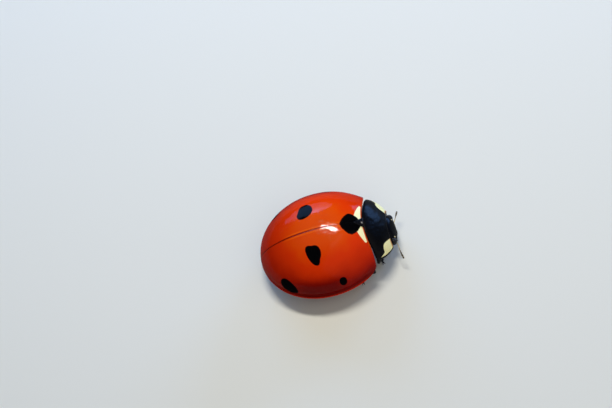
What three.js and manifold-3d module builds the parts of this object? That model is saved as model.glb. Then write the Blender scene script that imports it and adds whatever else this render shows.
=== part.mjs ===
// A seven-spot ladybird (Coccinella septempunctata) standing at rest, at life size.
// Millimetres. +X is forward, +Y is the animal's left and +Z is up; the soles stand at Z = 0
// and the origin lies under the middle of the whole outline.
// The shapes are laid out in a body frame whose origin is on the plane of the wing-case rim,
// below the front end of the seam between the wing cases.
import * as THREE from "three";
import { ParametricGeometry } from "three/addons/geometries/ParametricGeometry.js";
import { mergeVertices } from "three/addons/utils/BufferGeometryUtils.js";
import Module from "manifold-3d";

const wasm = await Module();
wasm.setup();

const { sin, cos, sqrt, pow, abs, sign, min, max, PI } = Math;

// ---- Driving dimensions -------------------------------------------------------------------

const RIM_HEIGHT = 0.95; // wing-case rim above the ground
const CUT = 0.03; // clearance between neighbouring plates and segments
const CUTTING_BLOCK = 20; // a cube larger than the whole animal, for trimming

const WING_CASE = {
  length: 6.0, // along the seam
  halfWidth: 2.98,
  widestX: -2.51,
  frontWidth: 0.74, // half width at the front, as a share of the greatest
  height: 2.35, // above the rim
  topX: -2.14,
  frontHeight: 0.72, // height at the front, as a share of the greatest
  frontSweep: 0.112, // the front edge bends forward to the sides by this times y squared
  frontCurl: 0.0175, // and back again by this times the fourth power of y
  shoulderReach: 0.75, // how far back the front outer corner is rounded
  shoulderRise: 0.5, // and how far up
  thickness: 0.5,
  // Exponents of the plan and of the ridge, before and behind their highest places.
  planFront: 2.19,
  planRear: 1.98,
  ridgeFront: 2.06,
  ridgeRear: 2.09,
  lastRow: 0.98, // the shell stops just short of the tail's tip
  rows: 20,
  columns: 12,
};
const SCUTELLUM = {
  length: 0.38,
  halfWidth: 0.26,
  depth: 0.42,
  baseX: 0.02,
  shoulderX: -0.06,
  seatRise: 0.3, // how far its seat is cut up and forward, clear of everything
};

const BELLY = {
  depth: 0.36, // lowest point of the underside below the rim
  taper: 3, // how far from the tail it starts to rise
  taperPower: 0.7,
  columns: 24,
};
const WAIST_X = -1.5; // joint of thorax and abdomen
const THORAX = { frontX: -0.04, rows: 6 };
const ABDOMEN = { tailClearance: 0.02, rows: 11 };

const PRONOTUM = {
  frontX: 1.12,
  cornerFrontX: 1.17,
  rearHalfWidth: 1.8,
  frontHalfWidth: 1.13,
  sideTaper: 1.9, // how late the sides turn in towards the front
  rearHeight: 1.62,
  frontHeight: 0.74,
  cornerRearZ: 0.56,
  cornerFrontZ: 0.05,
  thickness: 0.36,
  ridgeFall: 1.35, // how late the ridge comes down towards the front
  archWidth: 2.2,
  archHeight: 1.9,
  gap: 0.045, // between it and the wing cases
  rows: 7,
  columns: 18,
};
const FOREBODY = { bottomZ: -0.32, fullness: 0.6, rows: 5 };

const HEAD = {
  length: 0.33,
  halfWidth: 0.76,
  topZ: 0.6,
  bottomZ: -0.42,
  droop: 0.16, // how far the face slopes down
  turnY: -0.04, // the head looks a little to its right
  roundness: 0.55, // of the face in profile
  squareness: 0.8, // of its outline from the front
  faceTurn: 0.94, // share of a quarter turn at which the flat of the face begins
  rows: 7,
  columns: 24,
};
const EYE = { x: 1.22, y: 0.7, z: 0.08, radii: [0.22, 0.2, 0.3] };
const MOUTH = { centre: [1.2, 0, -0.56], radii: [0.26, 0.36, 0.14] };
const ELLIPSOID_COLUMNS = 16;
const ELLIPSOID_ROWS = 10;
const FEELER_RADII = [0.12, 0.24, 0.25, 0.16];
const FEELERS = {
  left: [
    [1.4, 0.46, -0.22],
    [1.66, 0.96, -0.26],
  ],
  right: [
    [1.4, -0.6, -0.22],
    [1.54, -1.5, -0.26],
  ],
};

// Legs: radii from the upper end to the lower one, joint heights above the ground, and the
// joints in plan, each as its place along the body and its distance from the midline.
const LEG_RADII = {
  femur: [0.18, 0.26, 0.27, 0.2],
  tibia: [0.14, 0.22, 0.25, 0.2],
  tarsus: [0.14, 0.24, 0.25, 0.18],
};
const LEG_HEIGHTS = { hip: 0.56, knee: 0.56, ankle: 0.22, toe: 0.18 };
const LEGS = {
  left: {
    front: { hip: [0.5, 0.42], knee: [0.86, 1.4], ankle: [0.36, 1.46], toe: [0.46, 1.88] },
    middle: { hip: [-0.7, 0.6], knee: [-0.15, 1.98], ankle: [-0.82, 2.14], toe: [-1.0, 2.6] },
    hind: { hip: [-1.8, 0.66], knee: [-2.36, 2.08], ankle: [-3.24, 2.14], toe: [-3.6, 2.52] },
  },
  right: {
    front: { hip: [0.5, 0.42], knee: [0.18, 1.52], ankle: [0.24, 0.93], toe: [0.36, 1.35] },
    middle: { hip: [-0.7, 0.6], knee: [-0.13, 2.02], ankle: [-0.78, 1.74], toe: [-0.89, 2.22] },
    hind: { hip: [-1.8, 0.66], knee: [-2.3, 1.95], ankle: [-3.1, 1.84], toe: [-3.32, 2.32] },
  },
};

const SEGMENT_COLUMNS = 10;

const SIDES = { left: 1, right: -1 };

// ---- Helpers ------------------------------------------------------------------------------

const mix = (a, b, t) => a + (b - a) * t;
const point = (x, y, z) => new THREE.Vector3(x, y, z);
const steps = (count, f) => Array.from({ length: count + 1 }, (_, i) => f(i / count));
// Points all the way round, at equal shares of a turn.
const turns = (count, f) => Array.from({ length: count }, (_, i) => f((i * 2 * PI) / count));

// Welds a geometry into one closed surface with its faces pointing out.
function closed(geometry) {
  const bare = geometry.clone();
  bare.deleteAttribute("normal");
  bare.deleteAttribute("uv");
  const welded = mergeVertices(bare, 1e-4);
  const index = welded.index.array;
  const position = welded.getAttribute("position");
  const corner = [point(0, 0, 0), point(0, 0, 0), point(0, 0, 0)];
  const faces = [];
  let volume = 0;
  for (let i = 0; i < index.length; i += 3) {
    const [a, b, c] = index.slice(i, i + 3);
    if (a === b || b === c || a === c) continue;
    faces.push([a, b, c]);
    [a, b, c].forEach((vertex, n) => corner[n].fromBufferAttribute(position, vertex));
    volume += corner[0].dot(corner[1].clone().cross(corner[2])) / 6;
  }
  const outward = volume < 0 ? faces.map(([a, b, c]) => [a, c, b]) : faces;
  welded.setIndex(outward.flat());
  return welded;
}

// A closed solid through a row of loops, each with the same number of points. The first and
// last loops are already collapsed onto a point or a line.
function loft(loops) {
  const rows = loops.length - 1;
  const columns = loops[0].length;
  const at = (u, v, target) =>
    target.copy(loops[Math.round(v * rows)][Math.round(u * columns) % columns]);
  return closed(new ParametricGeometry(at, columns, rows));
}

// A solid through star-shaped loops, closed by a fan at each end.
function capped(loops) {
  const collapse = (loop) => {
    const middle = point(0, 0, 0);
    loop.forEach((p) => middle.add(p));
    middle.divideScalar(loop.length);
    return loop.map(() => middle);
  };
  return loft([collapse(loops[0]), ...loops, collapse(loops[loops.length - 1])]);
}

// A plate between an outer and an inner row of lines, closed by a strip round its edge.
function plate(lines) {
  const loop = ({ outer, inner }) => [...outer, ...inner.slice().reverse()];
  const seam = ({ outer, inner }) => {
    const line = outer.map((p, i) => p.clone().lerp(inner[i], 0.5));
    return [...line, ...line.slice().reverse()];
  };
  return loft([seam(lines[0]), ...lines.map(loop), seam(lines[lines.length - 1])]);
}

function toSolid(geometry) {
  const welded = closed(geometry);
  return new wasm.Manifold(
    new wasm.Mesh({
      numProp: 3,
      vertProperties: new Float32Array(welded.getAttribute("position").array),
      triVerts: new Uint32Array(welded.index.array),
    }),
  );
}

function toGeometry(solid) {
  const mesh = solid.getMesh();
  const geometry = new THREE.BufferGeometry();
  geometry.setAttribute("position", new THREE.BufferAttribute(mesh.vertProperties, 3));
  geometry.setIndex(new THREE.BufferAttribute(mesh.triVerts, 1));
  return geometry;
}

const cutAway = (solid, cutters) => cutters.reduce((rest, cutter) => rest.subtract(cutter), solid);

function ellipsoid(centre, radii, grow = 0) {
  const geometry = new THREE.SphereGeometry(1, ELLIPSOID_COLUMNS, ELLIPSOID_ROWS);
  geometry.scale(...radii.map((r) => r + grow));
  geometry.translate(...centre);
  return geometry;
}

// A round-ended, spindle-shaped segment between two points, turned from its radii.
function segment(from, to, radii, grow = 0) {
  const along = to.clone().sub(from);
  const length = along.length();
  const [startRadius, ...others] = radii.map((r) => r + grow);
  const endRadius = others[others.length - 1];
  const profile = [new THREE.Vector2(0, -startRadius)];
  profile.push(new THREE.Vector2(startRadius * sin(PI / 4), -startRadius * cos(PI / 4)));
  radii.forEach((r, i) => {
    profile.push(new THREE.Vector2(r + grow, (length * i) / (radii.length - 1)));
  });
  profile.push(new THREE.Vector2(endRadius * sin(PI / 4), length + endRadius * cos(PI / 4)));
  profile.push(new THREE.Vector2(0, length + endRadius));
  const geometry = new THREE.LatheGeometry(profile, SEGMENT_COLUMNS);
  geometry.applyQuaternion(
    new THREE.Quaternion().setFromUnitVectors(point(0, 1, 0), along.normalize()),
  );
  geometry.translate(from.x, from.y, from.z);
  return geometry;
}

// ---- Finishes -----------------------------------------------------------------------------

const finish = (color, roughness) =>
  new THREE.MeshStandardMaterial({ color, roughness, metalness: 0 });
const RED_SHELL = finish(0xc8330a, 0.2);
const BLACK_SHELL = finish(0x101114, 0.3);
const BLACK_BODY = finish(0x16130f, 0.6);
const EYE_BLACK = finish(0x0a0a0c, 0.2);
const BROWN_FEELER = finish(0x5a3a1c, 0.5);

const ladybird = new THREE.Group();
function add(name, geometry, material) {
  const mesh = new THREE.Mesh(geometry, material);
  mesh.name = name;
  ladybird.add(mesh);
}

// ---- Wing cases ---------------------------------------------------------------------------

// Half width and height of the closed wing cases, or of a skin set in from their surface.
function halfWidthAt(x, inset = 0) {
  const { halfWidth, widestX, frontWidth, length, planFront, planRear } = WING_CASE;
  if (x > widestX) {
    return halfWidth * (1 - (1 - frontWidth) * pow((x - widestX) / -widestX, planFront)) - inset;
  }
  const back = min(1, (widestX - x) / (length + widestX - inset));
  return (halfWidth - inset) * sqrt(1 - pow(back, planRear));
}

function heightAt(x, inset = 0) {
  const { height, topX, frontHeight, length, ridgeFront, ridgeRear } = WING_CASE;
  if (x > topX) {
    return height * (1 - (1 - frontHeight) * pow((x - topX) / -topX, ridgeFront)) - inset;
  }
  const back = min(1, (topX - x) / (length + topX - inset));
  return (height - inset) * sqrt(1 - pow(back, ridgeRear));
}

// The front edge across the body, without the rounding of the shoulders.
const frontEdgeX = (y) => WING_CASE.frontSweep * pow(y, 2) - WING_CASE.frontCurl * pow(y, 4);

// How far the front edge is rounded off at a height above the rim.
function shoulderCut(rise) {
  const low = max(0, 1 - rise / WING_CASE.shoulderRise);
  return WING_CASE.shoulderReach * (1 - sqrt(1 - low * low));
}

function wingCaseLine(side, along, inset) {
  return steps(WING_CASE.columns, (across) => {
    const turn = across * (PI / 2);
    const edgeX = frontEdgeX(sin(turn) * halfWidthAt(0, inset));
    const frontX = edgeX - shoulderCut(heightAt(0, inset) * cos(turn));
    const x = mix(frontX, inset - WING_CASE.length, along);
    const y = CUT / 2 + (halfWidthAt(x, inset) - CUT / 2) * sin(turn);
    return point(x, side * y, heightAt(x, inset) * cos(turn));
  });
}

function wingCase(side) {
  const lines = steps(WING_CASE.rows, (row) => {
    const along = sin(row * WING_CASE.lastRow * (PI / 2));
    return {
      outer: wingCaseLine(side, along, 0),
      inner: wingCaseLine(side, along, WING_CASE.thickness),
    };
  });
  return plate(lines);
}

// ---- Scutellum: the small triangle between the wing cases ---------------------------------

// The plate itself, or with a growth the seat that is cut for it.
function scutellum(grow = 0) {
  const { length, halfWidth, depth, shoulderX, seatRise } = SCUTELLUM;
  const baseX = grow > 0 ? seatRise : SCUTELLUM.baseX;
  const outline = new THREE.Shape([
    new THREE.Vector2(-length - 2 * grow, 0),
    new THREE.Vector2(shoulderX, -halfWidth - grow),
    new THREE.Vector2(baseX, -halfWidth - grow),
    new THREE.Vector2(baseX, halfWidth + grow),
    new THREE.Vector2(shoulderX, halfWidth + grow),
  ]);
  const geometry = new THREE.ExtrudeGeometry(outline, { depth: 1, bevelEnabled: false });
  const position = geometry.getAttribute("position");
  for (let i = 0; i < position.count; i++) {
    const x = min(0, position.getX(i));
    const surface = heightAt(x) * sqrt(1 - (position.getY(i) / halfWidthAt(x)) ** 2);
    const top = grow > 0 ? surface + seatRise : surface;
    position.setZ(i, position.getZ(i) > 0.5 ? top : surface - depth - grow);
  }
  return geometry;
}

// ---- Thorax and abdomen, which fill the space under the wing cases -------------------------

function bodyUnderWingCases(fromX, toX, rows) {
  const inset = WING_CASE.thickness + CUT;
  const tailX = inset + ABDOMEN.tailClearance - WING_CASE.length;
  const loops = steps(rows, (row) => {
    const x = mix(fromX, max(toX, tailX), toX < tailX ? sin(row * (PI / 2)) : row);
    const width = halfWidthAt(x, inset);
    const belly = BELLY.depth * pow(min(1, (x + WING_CASE.length) / BELLY.taper), BELLY.taperPower);
    return turns(BELLY.columns, (turn) => {
      const radius = sin(turn) > 0 ? heightAt(x, inset) : belly;
      return point(x, width * cos(turn), radius * sin(turn));
    });
  });
  return capped(loops);
}

// ---- Pronotum and the forebody under it ---------------------------------------------------

// A place on the pronotum: along from rear to front, across from -1 to 1, sunk by a depth.
function pronotumPoint(along, across, sunk) {
  const p = PRONOTUM;
  const edgeY = mix(p.rearHalfWidth, p.frontHalfWidth, pow(along, p.sideTaper)) - sunk;
  const edgeZ = mix(p.cornerRearZ, p.cornerFrontZ, along);
  const ridgeZ = mix(p.rearHeight, p.frontHeight, pow(along, p.ridgeFall)) - sunk;
  const arch = pow(1 - pow(abs(across), p.archWidth), 1 / p.archHeight);
  const y = across * edgeY;
  const rearX = frontEdgeX(y) + p.gap;
  const frontX = mix(p.frontX, p.cornerFrontX, across * across);
  return point(mix(rearX, frontX, along), y, mix(edgeZ, ridgeZ, arch));
}

const pronotumLine = (along, sunk) =>
  steps(PRONOTUM.columns, (share) => pronotumPoint(along, -cos(share * PI), sunk));

function pronotum() {
  const lines = steps(PRONOTUM.rows, (along) => ({
    outer: pronotumLine(along, 0),
    inner: pronotumLine(along, PRONOTUM.thickness),
  }));
  return plate(lines);
}

function forebody() {
  const loops = steps(FOREBODY.rows, (along) => {
    const top = pronotumLine(along, PRONOTUM.thickness + CUT);
    const belly = top.map((p, i) => {
      const depth = pow(sin((i / (top.length - 1)) * PI), FOREBODY.fullness);
      return point(p.x, p.y, mix(p.z, FOREBODY.bottomZ, depth));
    });
    return [...top, ...belly.slice(1, -1).reverse()];
  });
  return capped(loops);
}

// ---- Head, eyes, mouthparts and feelers ---------------------------------------------------

function headShape(grow = 0) {
  const halfHeight = (HEAD.topZ - HEAD.bottomZ) / 2 + grow;
  const halfWidth = HEAD.halfWidth + grow;
  const squarish = (value) => sign(value) * pow(abs(value), HEAD.squareness);
  const loops = steps(HEAD.rows, (row) => {
    const profile = row * (PI / 2) * HEAD.faceTurn;
    const size = pow(cos(profile), HEAD.roundness);
    const along = sin(profile);
    return turns(HEAD.columns, (turn) => {
      const y = halfWidth * size * squarish(cos(turn));
      const z = halfHeight * size * squarish(sin(turn));
      const backX = mix(PRONOTUM.frontX, PRONOTUM.cornerFrontX, (y / PRONOTUM.frontHalfWidth) ** 2);
      const middleZ = (HEAD.topZ + HEAD.bottomZ) / 2 - HEAD.droop * along;
      return point(backX + CUT + (HEAD.length + grow) * along, y + HEAD.turnY * along, middleZ + z);
    });
  });
  return capped(loops);
}

const eyeCentre = (side) => [EYE.x + CUT, side * EYE.y + HEAD.turnY, EYE.z];
const eyeSeat = (side) => toSolid(ellipsoid(eyeCentre(side), EYE.radii, CUT));

// The part of an eye in front of the pronotum's edge.
function eye(side) {
  const behind = new THREE.BoxGeometry(CUTTING_BLOCK, CUTTING_BLOCK, CUTTING_BLOCK);
  behind.translate(PRONOTUM.cornerFrontX + CUT - CUTTING_BLOCK / 2, 0, 0);
  return toSolid(ellipsoid(eyeCentre(side), EYE.radii)).subtract(toSolid(behind));
}

function feeler(name) {
  const [root, tip] = FEELERS[name].map((place) => point(...place));
  return toSolid(segment(root, tip, FEELER_RADII));
}

// ---- Legs ---------------------------------------------------------------------------------

// A leg's three segments, each cut clear of the one above it, standing flat on the ground.
function leg(place, sideName) {
  const [hip, knee, ankle, toe] = ["hip", "knee", "ankle", "toe"].map((joint) => {
    const [x, y] = LEGS[sideName][place][joint];
    return point(x, SIDES[sideName] * y, LEG_HEIGHTS[joint] - RIM_HEIGHT);
  });
  const ends = { femur: [hip, knee], tibia: [knee, ankle], tarsus: [ankle, toe] };
  const ground = new THREE.BoxGeometry(CUTTING_BLOCK, CUTTING_BLOCK, CUTTING_BLOCK);
  ground.translate(0, 0, -RIM_HEIGHT - CUTTING_BLOCK / 2);
  const cutters = [toSolid(ground)];
  const solids = {};
  for (const [name, [from, to]] of Object.entries(ends)) {
    solids[name] = cutAway(toSolid(segment(from, to, LEG_RADII[name])), cutters);
    cutters.push(toSolid(segment(from, to, LEG_RADII[name], CUT)));
  }
  return { solids, femurGroove: cutters[1] };
}

// ---- Assembly -----------------------------------------------------------------------------

function assemble() {
  const grooves = [];
  for (const name of Object.keys(SIDES)) {
    for (const place of Object.keys(LEGS[name])) {
      const { solids, femurGroove } = leg(place, name);
      grooves.push(femurGroove);
      for (const [part, solid] of Object.entries(solids)) {
        add(`${part}_${place}_${name}`, toGeometry(solid), BLACK_BODY);
      }
    }
  }

  const seat = toSolid(scutellum(CUT));
  for (const [name, side] of Object.entries(SIDES)) {
    add(`wing_case_${name}`, toGeometry(toSolid(wingCase(side)).subtract(seat)), RED_SHELL);
  }
  add("scutellum", scutellum(), BLACK_SHELL);
  const thorax = toSolid(bodyUnderWingCases(THORAX.frontX, WAIST_X, THORAX.rows));
  add("thorax", toGeometry(cutAway(thorax, [seat, ...grooves])), BLACK_BODY);
  const abdomen = toSolid(bodyUnderWingCases(WAIST_X - CUT, -WING_CASE.length, ABDOMEN.rows));
  add("abdomen", toGeometry(cutAway(abdomen, grooves)), BLACK_BODY);
  add("pronotum", pronotum(), BLACK_SHELL);
  add("forebody", toGeometry(cutAway(toSolid(forebody()), grooves)), BLACK_BODY);

  const head = cutAway(toSolid(headShape()), Object.values(SIDES).map(eyeSeat));
  add("head", toGeometry(head), BLACK_SHELL);
  const headRoom = toSolid(headShape(CUT));
  const mouth = toSolid(ellipsoid(MOUTH.centre, MOUTH.radii));
  add("mouthparts", toGeometry(mouth.subtract(headRoom)), BROWN_FEELER);
  for (const [name, side] of Object.entries(SIDES)) {
    add(`eye_${name}`, toGeometry(eye(side)), EYE_BLACK);
    const feelerCut = cutAway(feeler(name), [headRoom, eyeSeat(side)]);
    add(`feeler_${name}`, toGeometry(feelerCut), BROWN_FEELER);
  }
}

assemble();

ladybird.position.z = RIM_HEIGHT;
ladybird.updateMatrixWorld(true);
const outline = new THREE.Box3().setFromObject(ladybird, true);
ladybird.position.x = -(outline.min.x + outline.max.x) / 2;
ladybird.position.y = -(outline.min.y + outline.max.y) / 2;

export default ladybird;
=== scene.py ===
from math import cos, pi, radians, sin

import bpy
import numpy as np
from mathutils import Matrix, Vector


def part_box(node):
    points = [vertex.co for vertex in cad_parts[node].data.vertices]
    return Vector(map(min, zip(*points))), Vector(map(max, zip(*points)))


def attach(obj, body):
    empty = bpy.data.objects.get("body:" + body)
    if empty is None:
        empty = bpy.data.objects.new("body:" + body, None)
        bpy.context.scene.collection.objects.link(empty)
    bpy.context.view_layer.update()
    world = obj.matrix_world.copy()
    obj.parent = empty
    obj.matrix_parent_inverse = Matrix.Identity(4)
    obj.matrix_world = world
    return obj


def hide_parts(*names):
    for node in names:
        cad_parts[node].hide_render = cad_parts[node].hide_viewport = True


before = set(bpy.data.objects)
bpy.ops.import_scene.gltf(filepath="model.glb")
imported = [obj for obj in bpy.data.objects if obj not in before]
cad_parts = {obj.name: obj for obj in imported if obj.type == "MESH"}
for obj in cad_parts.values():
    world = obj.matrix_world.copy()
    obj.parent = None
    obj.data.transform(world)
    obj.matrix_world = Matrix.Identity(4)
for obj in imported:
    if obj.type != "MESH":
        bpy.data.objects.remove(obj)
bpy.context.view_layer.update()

MM = 0.001
SIDES = {"left": 1, "right": -1}

# ---- Sizes, in millimetres ----

SEAM_LENGTH = 6.0
HALF_WIDTH = 2.98
WIDEST_X = -2.51
FRONT_WIDTH = 0.74  # half width at the front, as a share of the greatest
DOME_HEIGHT = 2.35
TOP_X = -2.14
FRONT_HEIGHT = 0.72
SEAM_GAP = 0.002
SHELL = 0.07  # thickness of a wing case
SEAM_GROOVE = 0.009  # depth of the dip along the seam
EDGE_BULGE = 0.1
RIM_RADIUS = 0.06
RIM_SHELF = 0.1  # how far the rim stands out from the side above it
SHELF_START = 0.5  # how far behind the front edge it does so in full
UNDER_FLANGE = 0.36  # width of the flange under the wing-case rim

rim_corner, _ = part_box("wing_case_left")
TAIL_SHORT = 0.003  # the solid wing case ends this far before the tail
ORIGIN = np.array([rim_corner.x / MM + SEAM_LENGTH - TAIL_SHORT, 0, rim_corner.z / MM])
GROUND = -ORIGIN[2]


def place(points):
    return (np.asarray(points, float) + ORIGIN) * MM


# ---- Curves and directions ----


def mix(a, b, share):
    return a + (b - a) * share


def straight(a, b, shares):
    """Points on the straight line from a to b."""
    return mix(a, b, np.asarray(shares, float)[:, None])


def bump_at(x, centre, width):
    return np.exp(-(((x - centre) / width) ** 2))


def unit(vectors):
    return vectors / (np.linalg.norm(vectors, axis=-1, keepdims=True) + 1e-12)


def square_to(direction, facing):
    """The part of a direction that is square to the way something faces."""
    direction = Vector(direction)
    return (direction - facing * direction.dot(facing)).normalized()


def taper(sizes, count):
    """An even taper between a pair of sizes. A longer list is left as it is."""
    return np.linspace(*sizes, count) if len(sizes) == 2 else sizes


def curve(points, shares):
    """Places on a smooth curve from the second of the points to the last but one."""
    start = np.minimum(shares.astype(int), len(points) - 4)
    t = (shares - start)[:, None]
    a, b, c, d = (points[start + i] for i in range(4))
    bend = (2 * a - 5 * b + 4 * c - d) * t**2 + (3 * b - a - 3 * c + d) * t**3
    return 0.5 * (2 * b + (c - a) * t + bend)


def smooth_path(points, count):
    points = np.asarray(points, float)
    before, after = 2 * points[[0, -1]] - points[[1, -2]]
    return curve(np.array([before, *points, after]), np.linspace(0, len(points) - 1, count))


def closed_curve(points, count):
    points = np.asarray(points, float)
    looped = np.concatenate([points[-1:], points, points[:2]])
    return curve(looped, np.linspace(0, len(points), count, endpoint=False))


# ---- Camera, floor and lights ----

CAMERA_AT = (10.855522, -38.57056, 81.36133)
CAMERA_ANGLES = (24.702711, 14.027369, -9.160447)  # degrees about X, Y and Z
FOCAL_LENGTH = 99.751765  # for Blender's sensor of 36 mm
CLIP_RANGE = (0.005, 5)  # metres
FLOOR_COLOUR = (0.78, 0.77, 0.68)
SKY_COLOUR, SKY_STRENGTH = (0.8, 0.88, 1, 1), 0.09
LIT_MIDDLE = (-2.2, 0, 1.5)  # the point that the lamps face
# The lamps: the way to each, its distance and two sizes, power, colour and long axis.
LAMPS = {
    "sun_box": ((0.09, 0.37, 0.925), 100, (52, 10), 0.066, (1, 0.97, 0.92), (0.544, -0.23, 0.03)),
    "fill_box": ((0.50, -0.56, 0.62), 160, (330, 280), 0.125, (1, 0.97, 0.93), (0, 1, 0)),
    "sky_box": ((-0.24, 0.91, 0.34), 110, (96, 46), 0.070, (0.22, 0.46, 1), (1, 0, 0)),
    "second_sky_box": ((0.70, 0.70, 0.17), 110, (64, 36), 0.085, (0.2, 0.44, 1), (1, 0, 0)),
}


def new_object(name, data):
    made = bpy.data.objects.new(name, data)
    bpy.context.collection.objects.link(made)
    return made


def make_camera():
    data = bpy.data.cameras.new("camera")
    data.lens = FOCAL_LENGTH
    data.clip_start, data.clip_end = CLIP_RANGE
    camera = new_object("camera", data)
    camera.location = place(CAMERA_AT)
    camera.rotation_euler = [radians(angle) for angle in CAMERA_ANGLES]
    bpy.context.scene.camera = camera


def make_floor():
    bpy.ops.mesh.primitive_plane_add(size=2)
    floor = bpy.context.object
    floor.name = "floor"
    floor.data.materials.append(Paint("pale_floor", FLOOR_COLOUR, 0.9).done())


def make_lamp(name, direction, distance, sizes, power, colour, long_axis):
    data = bpy.data.lights.new(name, "AREA")
    data.shape = "ELLIPSE"
    data.size, data.size_y = (s * MM for s in sizes)
    data.energy = power
    data.color = colour
    toward = Vector(direction).normalized()
    across = square_to(long_axis, toward)
    turned = Matrix((across, toward.cross(across), toward)).transposed().to_4x4()
    at = Vector(place(LIT_MIDDLE)) + toward * distance * MM
    new_object(name, data).matrix_world = Matrix.Translation(at) @ turned


def make_lights():
    scene = bpy.context.scene
    scene.world = bpy.data.worlds.new("studio")
    scene.world.use_nodes = True
    sky = scene.world.node_tree.nodes["Background"].inputs
    sky["Color"].default_value = SKY_COLOUR
    sky["Strength"].default_value = SKY_STRENGTH
    for name, values in LAMPS.items():
        make_lamp(name, *values)
    scene.view_settings.view_transform = "Standard"


# ---- Mesh building ----

UNDERNEATH = 4.0  # added to a mark on the edge and the inner side of a plate
GROOVE_AT, GROOVE_SPREAD = 1.5 * pi, 0.5  # angles round a limb: its groove lies underneath
STRIP_MARGIN = 0.05  # share of a strip of the unwrap that is left free at each side


def lattice_faces(rows, columns, wrap):
    """Quads of a lattice of points, row by row; wrap joins the last column to the first."""
    index = np.arange(rows * columns).reshape(rows, columns)
    after = np.roll(index, -1, 1)
    quads = np.stack([index[:-1], after[:-1], after[1:], index[1:]], -1)
    return (quads if wrap else quads[:, :-1]).reshape(-1, 4)


def inside_out(points, faces):
    """Whether the faces of a closed surface point inwards."""
    a, b, c = np.array([(f[0], *pair) for f in faces for pair in zip(f[1:], f[2:])]).T
    return (points[a] * np.cross(points[b], points[c])).sum() < 0


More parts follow.
